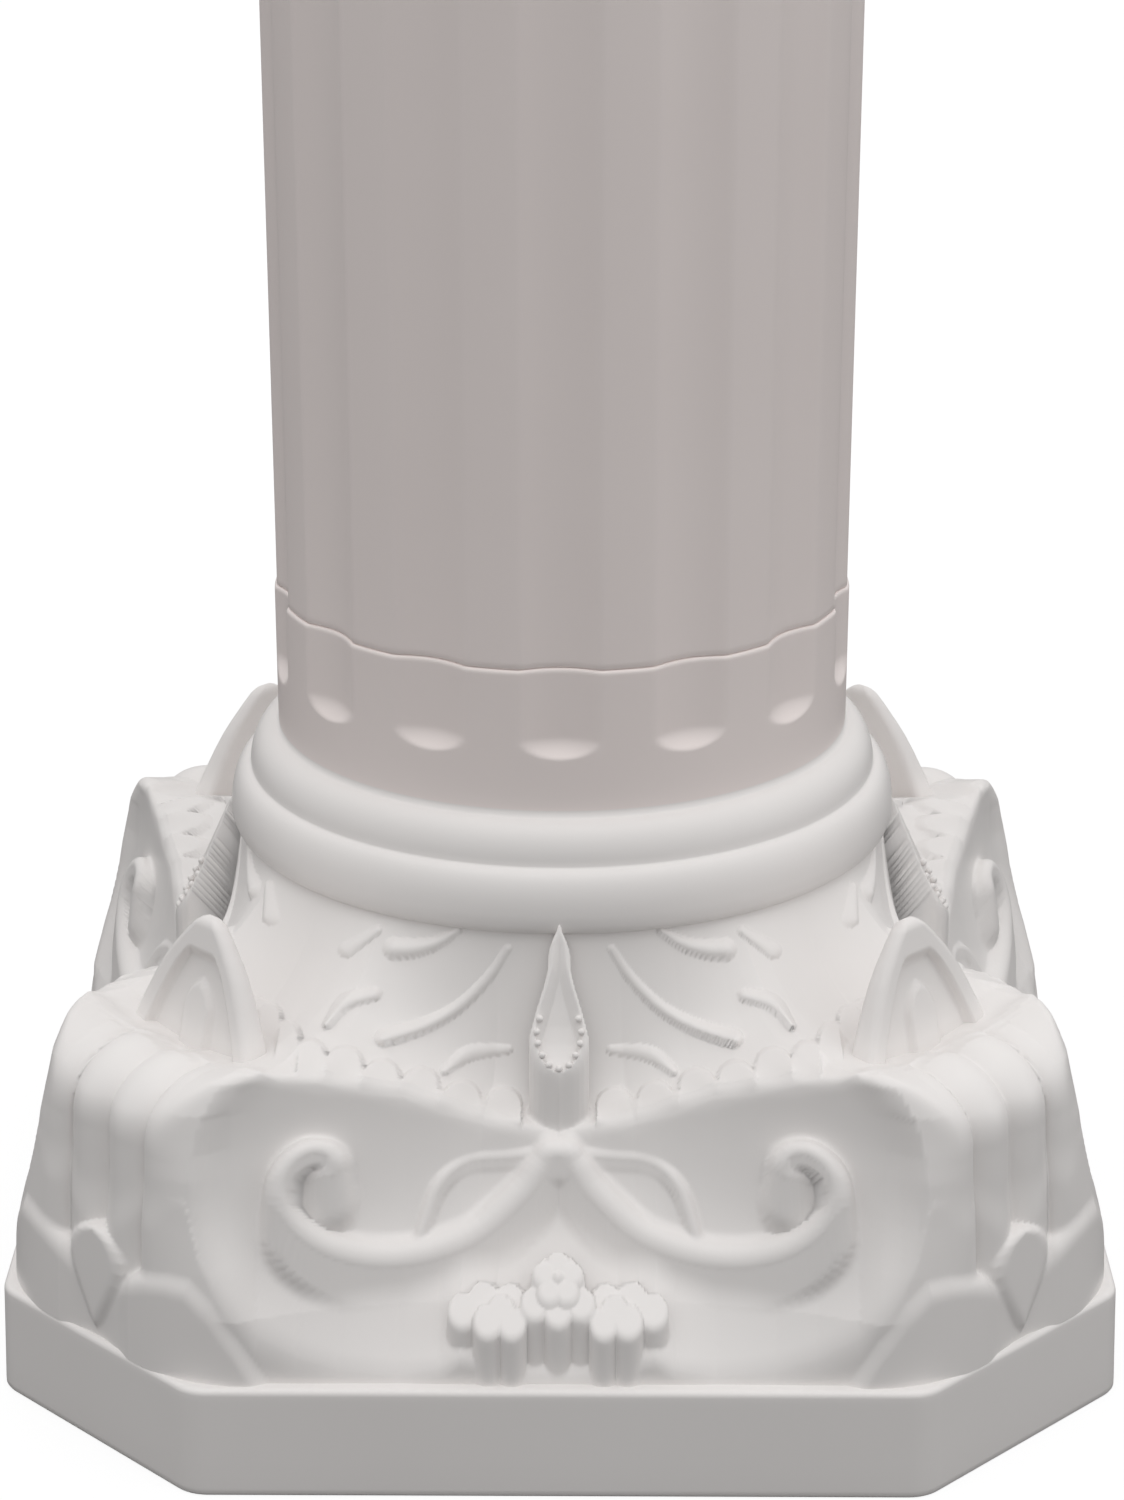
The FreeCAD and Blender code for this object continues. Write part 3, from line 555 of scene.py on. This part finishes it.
def carvingSkin(label, node, top):
    sheet, normalSheet = quarterSheet(eighth), quarterSheet(eighthNormal)
    for quarter, side in enumerate(("front", "right", "back", "left")):
        points, normals = quarterPoints(sheet, quarter), quarterPoints(normalSheet, quarter)
        faces = gridFaces(*sheet[0].shape)
        if top:
            points, faces = turnedOver(points, faces, node)
            normals[:, 2] = -normals[:, 2]
        meshPiece("%s_carving_%s" % (label, side), points, faces, whitePlastic, node, normals)


# the upright leaf on each corner: a slab with rounded edges, its outer face sunk inside a thick rim
leaf = {"z": [86, 95, 100, 103.5, 108, 114, 118.5, 122, 126.5, 129.5, 130.8, 131.6],
        "half": [25.2, 23.8, 22.8, 21.4, 19.5, 16.7, 14.2, 11.7, 8.0, 5.1, 3.2, 1.2],
        "tip": 124.6, "tipZ": 131, "lean": 0.23, "thick": 4.2, "thicker": 0.13, "foot": 88.0, "top": 131.6,
        "soft": 2.4, "rim": 5.2, "rimSoft": 1.8, "sink": 2.6, "sunkTop": 123.5, "sunkFade": 3.0,
        "tongue": 5.0, "tongueTop": 115.0, "tongueLong": 6.0, "tongueSoft": 1.4, "tongueRise": 1.7,
        "crowd": 1.35, "rows": 60, "across": 70,
        "frontArc": 8, "backArc": 6}


def eased(t):
    # a soft start and end
    return t * t * (3 - 2 * t)


def leafRing(z):
    # the outline of the slab at one height, narrowing to a round tip, with the sunk face and its tongue
    half = np.interp(z, leaf["z"], leaf["half"])
    outer = leaf["tip"] + (leaf["tipZ"] - z) * leaf["lean"]
    inner = outer - leaf["thick"] - (leaf["tipZ"] - z) * leaf["thicker"]
    shrink = leaf["soft"] * (1 - math.sqrt(max(0.0, 1 - max(0.0, (z - leaf["top"]) / leaf["soft"] + 1) ** 2)))
    shrink = min(shrink, (outer - inner) / 2 - 0.3)
    outer, inner = outer - shrink, inner + shrink
    bend = max(0.2, min(leaf["soft"], half - 0.1, (outer - inner) / 2 - 0.05))
    flat, middle = half - bend, (outer + inner) / 2
    front = np.linspace(0, math.pi / 2, leaf["frontArc"])
    back = np.linspace(0, math.pi / 2, leaf["backArc"])
    a = np.concatenate([flat * np.linspace(-1, 1, leaf["across"]), flat + bend * np.sin(front[1:]), [half],
                        flat + bend * np.cos(back[1:]), -flat - bend * np.sin(back), [-half],
                        -flat - bend * np.cos(front[:-1])])
    rho = np.concatenate([np.full(leaf["across"], outer), outer - bend + bend * np.cos(front[1:]), [middle],
                          inner + bend - bend * np.sin(back[1:]), inner + bend - bend * np.cos(back),
                          [middle], outer - bend + bend * np.sin(front[:-1])])
    room = eased(np.clip((half - leaf["rim"] - np.abs(a)) / leaf["rimSoft"], 0, 1))
    room = room * np.clip((leaf["sunkTop"] - z) / leaf["sunkFade"], 0, 1)
    wide = leaf["tongue"] * math.sqrt(max(0.0, min(1.0, (leaf["tongueTop"] - z) / leaf["tongueLong"])))
    tongue = np.clip((wide - np.abs(a)) / leaf["tongueSoft"] + 0.5, 0, 1) * (1.0 if z < leaf["tongueTop"] else 0.0)
    cut = np.where(rho > outer - 0.01, room * (leaf["sink"] - leaf["tongueRise"] * eased(tongue)), 0)
    return np.stack([a, rho - cut, np.full(a.shape, z)], -1)


def leafPiece(label, node, top):
    share = 1 - (1 - np.linspace(0, 1, leaf["rows"])) ** leaf["crowd"]
    rings = [leafRing(z) for z in leaf["foot"] + (leaf["top"] - leaf["foot"]) * share]
    ring = len(rings[0])
    cap = np.array([[0, leaf["tip"] - leaf["thick"] / 2, leaf["top"] + 0.02]])
    local = np.concatenate(rings + [cap])
    last = (leaf["rows"] - 1) * ring
    leafFaces = [tuple(int(i) for i in f) for f in gridFaces(leaf["rows"], ring, closed=True)]
    leafFaces += [(last + k, last + (k + 1) % ring, len(local) - 1) for k in range(ring)]
    # along the corner is (1, 1) / root2 and out of it (1, -1) / root2 at the front right corner
    sheet = ((local[:, 1] + local[:, 0]) / root2, (local[:, 0] - local[:, 1]) / root2, local[:, 2])
    points = np.concatenate([quarterPoints(sheet, quarter) for quarter in range(4)])
    faces = [tuple(i + len(local) * quarter for i in f) for quarter in range(4) for f in leafFaces]
    if top:
        points, faces = turnedOver(points, faces, node)
    meshPiece(label + "_leaves", points, faces, whitePlastic, node)


# the octagonal plinth, a thin wall that leans in a little, with a rounded upper edge
plinth = {"half": 145.0, "chamfer": 53.6, "round": 11.0, "least": 1.5, "draft": 2.0, "height": 29.3, "bevel": 1.6,
          "bevelSteps": 5, "wall": 3.2, "flange": 9.0, "arc": 8}


def plinthRing(inset, z):
    half = plinth["half"] - inset
    corner = (2 * plinth["half"] - plinth["chamfer"]) / root2 - inset
    end = root2 * corner - half
    radius = max(plinth["round"] - inset, plinth["least"])
    cut = radius * math.tan(math.pi / 8)
    ring = []
    for quarter in range(4):
        for (px, py, way) in ((end, -half, 0.0), (half, -end, 45.0)):
            # centre of the rounding at this corner of the octagon
            first = math.radians(way)
            cx = px - cut * math.cos(first) - radius * math.sin(first)
            cy = py - cut * math.sin(first) + radius * math.cos(first)
            for k in range(plinth["arc"] + 1):
                angle = math.radians(way - 90 + 45 * k / plinth["arc"])
                ring.append(turnedBy(cx + radius * math.cos(angle), cy + radius * math.sin(angle), quarter))
    return [(x, y, z) for x, y in ring]


def plinthSkin(label, node, top):
    # from under the ledge down the inside, round the foot's edge, up the outside and in over the ledge
    lean = math.tan(math.radians(plinth["draft"]))
    high, bevel, wall = plinth["height"], plinth["bevel"], plinth["wall"]
    under, arcFoot = high - wall, high - bevel
    profile = [(wall + plinth["flange"], under), (wall + 0.8, under), (wall + 0.2, under - 0.6), (wall, under - 2.5),
               (wall - 0.05, 2.0), (wall - 0.2, 0.6), (wall - 0.7, 0.0),
               (1.0, 0.0), (0.35, 0.15), (0.05, 0.6), (0.05, 2.0)]
    profile += [(lean * z, z) for z in (10.0, 20.0, arcFoot - 1.5)]
    for k in range(plinth["bevelSteps"] + 1):
        angle = math.pi / 2 * k / plinth["bevelSteps"]
        profile.append((lean * arcFoot + bevel * (1 - math.cos(angle)), arcFoot + bevel * math.sin(angle)))
    profile += [(4.0, high), (14.0, high - 0.01)]
    rings = [plinthRing(inset, z) for inset, z in profile]
    points, faces = np.array([p for ring in rings for p in ring]), gridFaces(len(rings), len(rings[0]), closed=True)
    if top:
        points, faces = turnedOver(points, faces, node)
    meshPiece(label + "_plinth", points, faces, whitePlastic, node)


# flutes of the collar and the tubes, with round spoon ends at the collar
flutes = {"count": 14, "half": 9.9, "depth": 2.9, "end": 174.2, "spoon": 5.0, "edge": 1.05, "above": 165,
          "steps": 30}


def roundAngles():
    # the way round the column starts at the front
    turns = flutes["count"] * flutes["steps"]
    return np.arange(turns) * 2 * math.pi / turns - math.pi / 2


def circle(angle, radius, z):
    return np.stack([radius * np.cos(angle), radius * np.sin(angle), np.full(len(angle), z)], -1)


def fluteDepth(angle, z, radius):
    pitch = 2 * math.pi / flutes["count"]
    off = (np.mod(angle + math.pi / 2 + pitch / 2, pitch) - pitch / 2) * radius / flutes["half"]
    below = np.maximum(flutes["end"] - z, 0) / flutes["spoon"]
    return flutes["depth"] * np.maximum(1 - off * off - below * below, 0) ** flutes["edge"]


# two rings over the bell, the fluted collar above them and the spigot inside the tube, as (radius, z)
collar = {"radius": 75.6, "top": 192.0, "spoonStart": 169.0, "spoonStep": 0.4, "spoonSteps": 15, "paintedWarmAbove": 154.5,
          "neck": ((85.2, 126.4), (86.6, 126.9), (87.9, 127.9), (88.6, 129.6), (88.7, 132.0)),
          "rings": ((88.7, 132.4, 83.4, 143.2), (83.3, 143.6, 75.6, 153.9)), "ringSteps": 12,
          "below": (155.5, 160.0, 166.0, 168.5), "above": (177.0, 184.0, 190.6, 191.2),
          "edge": ((0.15, 191.65), (0.45, 191.92), (0.9, 192.0)),
          "spigot": ((69.25, 192.0), (69.2, 192.3), (69.2, 221.0), (68.8, 221.8), (68.2, 222.0), (66.8, 222.0),
                     (66.3, 221.7), (66.2, 221.0), (66.2, 189.2), (66.3, 188.8), (69.3, 188.8), (69.5, 188.6)),
          "hollow": ((69.5, 151.5), (69.9, 150.2), (83.4, 125.0), (84.3, 123.0), (90.5, 97.0), (100.0, 80.0),
                     (103.0, 76.5))}


def collarProfile():
    # up the outside, ending at the collar's upper edge
    line = list(collar["neck"])
    for (r0, z0, r1, z1) in collar["rings"]:
        for k in range(collar["ringSteps"] + 1):
            angle = math.pi / 2 * k / collar["ringSteps"]
            line.append((r1 + (r0 - r1) * math.cos(angle), z0 + (z1 - z0) * math.sin(angle)))
    spoons = [collar["spoonStart"] + collar["spoonStep"] * k for k in range(collar["spoonSteps"])]
    line += [(collar["radius"], z) for z in (*collar["below"], *spoons, *collar["above"])]
    return line + [(collar["radius"] - inset, z) for inset, z in collar["edge"]]


def collarSkin(label, node, top):
    angle = roundAngles()
    line = collarProfile()
    rings = []
    for radius, z in line:
        depth = fluteDepth(angle, z, radius) if z > flutes["above"] else 0 * angle
        rings.append(circle(angle, radius - depth, z))
    rings += [circle(angle, radius, z) for radius, z in collar["spigot"] + collar["hollow"]]
    points, faces = np.concatenate(rings), gridFaces(len(rings), len(angle), closed=True)
    if top:
        points, faces = turnedOver(points, faces, node)
    piece = meshPiece(label + "_collar", points, faces, whitePlastic, node)
    # the straight collar and the spigot have the tubes' warmer tint: painted warm light on these upright faces
    piece.data.materials.append(paintedWarmLightPlastic)
    first = sum(1 for radius, z in line if z < collar["paintedWarmAbove"])
    last = len(line) + 4
    for polygon in piece.data.polygons:
        polygon.material_index = 1 if first <= polygon.index // len(angle) < last else 0


# the hollow behind the carving follows the plain form a wall's thickness inside it
hollow = {"columns": 40, "rows": 44, "lowZ": 26.3, "side": 134.0, "corner": 158.0, "highZ": 96.0, "highRadius": 91.0,
          "floor": 30.0, "walk": (1.0, 150)}


def hollowForm(x, q, z):
    return body(x, q, np.maximum(z, hollow["floor"])) - plinth["wall"]


def hollowSkin(label, node, top):
    source = sampling["source"]
    turn = np.linspace(0, math.pi / 4, hollow["columns"])
    edge = np.minimum(hollow["side"] / np.cos(turn), hollow["corner"] / np.cos(math.pi / 4 - turn))
    low = np.arctan2(hollow["lowZ"] - source, edge)
    high = math.atan2(hollow["highZ"] - source, hollow["highRadius"])
    rise = low[None, :] + np.linspace(0, 1, hollow["rows"])[:, None] * (high - low[None, :])
    turns = np.broadcast_to(turn, rise.shape)
    hit = outermost(turns, rise, sampling["far"] / np.cos(rise), *hollow["walk"], hollowForm)
    sheet = quarterSheet(rayPoint(turns, rise, hit))
    inward = gridFaces(*sheet[0].shape)[:, ::-1]
    points = np.concatenate([quarterPoints(sheet, quarter) for quarter in range(4)])
    faces = np.concatenate([inward + sheet[0].size * quarter for quarter in range(4)])
    if top:
        points, faces = turnedOver(points, faces, node)
    meshPiece(label + "_hollow", points, faces, whitePlastic, node)


# beads down both sides of the lily, set on all four faces by Geometry Nodes
bead = {"radius": 0.9, "segments": 14, "rings": 9, "faces": 4, "x": (4.8, 5.5, 5.2, 4.1, 2.5, 0.0),
        "q": (98.7, 100.4, 101.8, 103.1, 104.2, 104.7), "z": (109.3, 106.5, 104, 101.4, 99.2, 98.4)}


def beadTree():
    tree = bpy.data.node_groups.new("beads_on_four_faces", "GeometryNodeTree")
    tree.interface.new_socket("Geometry", in_out="INPUT", socket_type="NodeSocketGeometry")
    size = tree.interface.new_socket("Bead Radius", in_out="INPUT", socket_type="NodeSocketFloat")
    faces = tree.interface.new_socket("Faces", in_out="INPUT", socket_type="NodeSocketInt")
    tree.interface.new_socket("Geometry", in_out="OUTPUT", socket_type="NodeSocketGeometry")
    start = addNode(tree, "NodeGroupInput").outputs
    # one side's beads: a ball on each point
    ball = addNode(tree, "GeometryNodeMeshUVSphere", {"Radius": start["Bead Radius"]},
                   Segments=bead["segments"], Rings=bead["rings"])
    smooth = addNode(tree, "GeometryNodeSetShadeSmooth", {"Geometry": ball.outputs["Mesh"]})
    beads = addNode(tree, "GeometryNodeInstanceOnPoints",
                    {"Points": start["Geometry"], "Instance": smooth.outputs["Geometry"]})
    oneSide = addNode(tree, "GeometryNodeRealizeInstances", {"Geometry": beads.outputs["Instances"]})
    # the same on each face: as many points on the axis as there are faces, each turned by its share
    axis = addNode(tree, "GeometryNodeMeshLine", {"Count": start["Faces"]}, Offset=(0.0, 0.0, 0.0))
    index = addNode(tree, "GeometryNodeInputIndex")
    share = addNode(tree, "ShaderNodeMath", {0: index.outputs[0], 1: start["Faces"]}, operation="DIVIDE")
    turn = addNode(tree, "ShaderNodeMath", {0: share.outputs[0]}, operation="MULTIPLY")
    turn.inputs[1].default_value = 2 * math.pi
    spin = addNode(tree, "ShaderNodeCombineXYZ", {"Z": turn.outputs[0]})
    each = addNode(tree, "GeometryNodeInstanceOnPoints",
                   {"Points": axis.outputs["Mesh"], "Instance": oneSide.outputs["Geometry"],
                    "Rotation": spin.outputs[0]})
    real = addNode(tree, "GeometryNodeRealizeInstances", {"Geometry": each.outputs["Instances"]})
    done = addNode(tree, "GeometryNodeSetMaterial", {"Geometry": real.outputs["Geometry"]}, Material=whitePlastic)
    addNode(tree, "NodeGroupOutput", {"Geometry": done.outputs["Geometry"]})
    return tree, size.identifier, faces.identifier


beadNodes, beadSize, beadFaces = beadTree()


def beadPiece(label, node, top):
    places = []
    for x, q, z in zip(bead["x"], bead["q"], bead["z"]):
        for side in ((1, -1) if x else (1,)):
            places.append((side * x * mm, -q * mm, (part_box(node)[1][2] / mm - z if top else z) * mm))
    mesh = bpy.data.meshes.new(label + "_bead_places")
    mesh.from_pydata(places, [], [])
    holder = bpy.data.objects.new(label + "_bead_maker", mesh)
    bpy.context.scene.collection.objects.link(holder)
    modifier = holder.modifiers.new("beads", "NODES")
    modifier.node_group = beadNodes
    modifier[beadSize] = bead["radius"] * mm
    modifier[beadFaces] = bead["faces"]
    # the tree's result becomes the piece's own mesh, with no modifier left
    result = bpy.data.meshes.new_from_object(holder.evaluated_get(bpy.context.evaluated_depsgraph_get()))
    holder.modifiers.remove(modifier)
    bpy.data.objects.remove(holder)
    result.name = label + "_beads"
    finishPiece(label + "_beads", result, node)


for label, node, top in (("base", "base_moulding", False), ("capital", "capital_moulding", True)):
    carvingSkin(label, node, top)
    leafPiece(label, node, top)
    plinthSkin(label, node, top)
    collarSkin(label, node, top)
    hollowSkin(label, node, top)
    beadPiece(label, node, top)
print("mouldings made")

# the two tubes: how far the outside and the bore draw back at each distance from an end
tube = {"radius": 75.0, "bore": 69.5, "fluteZ": 400.0, "end": ((0.7, 0), (0.25, 0.12), (0.0, 0.5), (0.0, 2)),
        "boreEnd": ((0.4, 0), (0.0, 0.4), (0.0, 3))}


def tubeSkin(name, node, low, high):
    angle = roundAngles()
    depth = fluteDepth(angle, tube["fluteZ"], tube["radius"])
    outer = [(inset, low + way) for inset, way in tube["end"]] + [(0.0, (low + high) / 2)]
    outer += [(inset, high - way) for inset, way in reversed(tube["end"])]
    rings = [circle(angle, tube["radius"] - depth - inset, z) for inset, z in outer]
    rings += [circle(angle, tube["bore"] + wider, high - way) for wider, way in tube["boreEnd"]]
    rings += [circle(angle, tube["bore"] + wider, low + way) for wider, way in reversed(tube["boreEnd"])]
    rings.append(rings[0])
    # the tubes take the warmer copy of the plastic: painted warm light on their upright faces
    meshPiece(name, np.concatenate(rings), gridFaces(len(rings), len(angle), closed=True), paintedWarmLightPlastic, node)


for node in ("shaft_lower", "shaft_upper"):
    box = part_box(node)
    tubeSkin(node + "_tube", node, box[0][2] / mm, box[1][2] / mm)
print("shaft made")

# the plain pieces keep their CAD meshes
for node, material in (("shaft_sleeve", innerPlastic), ("top_plate", whitePlastic), ("top_plate_screws", screwSteel)):
    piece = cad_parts[node]
    piece.data.materials.clear()
    piece.data.materials.append(material)

# a pale floor: even to the eye, with the object's own shadow, and dull to bounced light
ground = {"half": 3.0, "seen": "#FAFAFA", "bounce": "#4A4A4A", "glow": 1.04, "even": 0.82}


def floorMaterial(name):
    material = bpy.data.materials.new(name)
    material.use_nodes = True
    tree = material.node_tree
    tree.nodes.clear()
    path = addNode(tree, "ShaderNodeLightPath")
    dull = addNode(tree, "ShaderNodeBsdfDiffuse", Color=linear(ground["bounce"]))
    pale = addNode(tree, "ShaderNodeBsdfDiffuse", Color=linear(ground["seen"]))
    glow = addNode(tree, "ShaderNodeEmission", Color=linear("#FFFFFF"), Strength=ground["glow"])
    blend = addNode(tree, "ShaderNodeMixShader", {1: pale.outputs[0], 2: glow.outputs[0]}, Fac=ground["even"])
    seen = addNode(tree, "ShaderNodeMixShader",
                   {0: path.outputs["Is Camera Ray"], 1: dull.outputs[0], 2: blend.outputs[0]})
    addNode(tree, "ShaderNodeOutputMaterial", {"Surface": seen.outputs[0]})
    return material


reach = ground["half"]
floorMesh = bpy.data.meshes.new("floor")
floorMesh.from_pydata([(-reach, -reach, 0), (reach, -reach, 0), (reach, reach, 0), (-reach, reach, 0)], [],
                      [(0, 1, 2, 3)])
floor = bpy.data.objects.new("floor", floorMesh)
bpy.context.scene.collection.objects.link(floor)
floorMesh.materials.append(floorMaterial("pale_floor"))

# the sky lights from above more than from below, and the eye sees it plain white
sky = {"below": 0.52, "above": 1.10, "seen": 1.0}
world = bpy.data.worlds.new("studio")
bpy.context.scene.world = world
world.use_nodes = True
skyTree = world.node_tree
place = addNode(skyTree, "ShaderNodeTexCoord")
parts = addNode(skyTree, "ShaderNodeSeparateXYZ", {0: place.outputs["Generated"]})
lift = addNode(skyTree, "ShaderNodeMapRange", {"Value": parts.outputs["Z"]}, To_Min=sky["below"],
               To_Max=sky["above"])
glow = skyTree.nodes["Background"]
glow.inputs["Color"].default_value = linear("#FFFFFF")
skyTree.links.new(lift.outputs["Result"], glow.inputs["Strength"])
seenSky = addNode(skyTree, "ShaderNodeBackground", Color=linear("#FFFFFF"), Strength=sky["seen"])
path = addNode(skyTree, "ShaderNodeLightPath")
skyMix = addNode(skyTree, "ShaderNodeMixShader",
                 {0: path.outputs["Is Camera Ray"], 1: glow.outputs[0], 2: seenSky.outputs[0]})
skyTree.links.new(skyMix.outputs[0], skyTree.nodes["World Output"].inputs["Surface"])

# soft lamps, in metres and watts: one high over the front, one low at the right
lamps = {"top_light": {"place": (0.0, -0.5, 2.4), "aim": (0.0, 0.0, 0.0), "size": (1.8, 1.8), "power": 11.0},
         "right_light": {"place": (2.0, -0.3, 0.8), "aim": (0.0, 0.0, 0.2), "size": (1.0, 1.6), "power": 3.4}}


def areaLamp(name, setting):
    data = bpy.data.lights.new(name, "AREA")
    data.shape = "RECTANGLE"
    data.size, data.size_y = setting["size"]
    data.energy = setting["power"]
    lamp = bpy.data.objects.new(name, data)
    bpy.context.scene.collection.objects.link(lamp)
    lamp.location = setting["place"]
    ax, ay, az = (a - p for a, p in zip(setting["aim"], setting["place"]))
    lamp.rotation_euler = (math.pi / 2 + math.atan2(az, math.hypot(ax, ay)), 0, math.atan2(ay, ax) - math.pi / 2)


for name, setting in lamps.items():
    areaLamp(name, setting)
print("stage set")
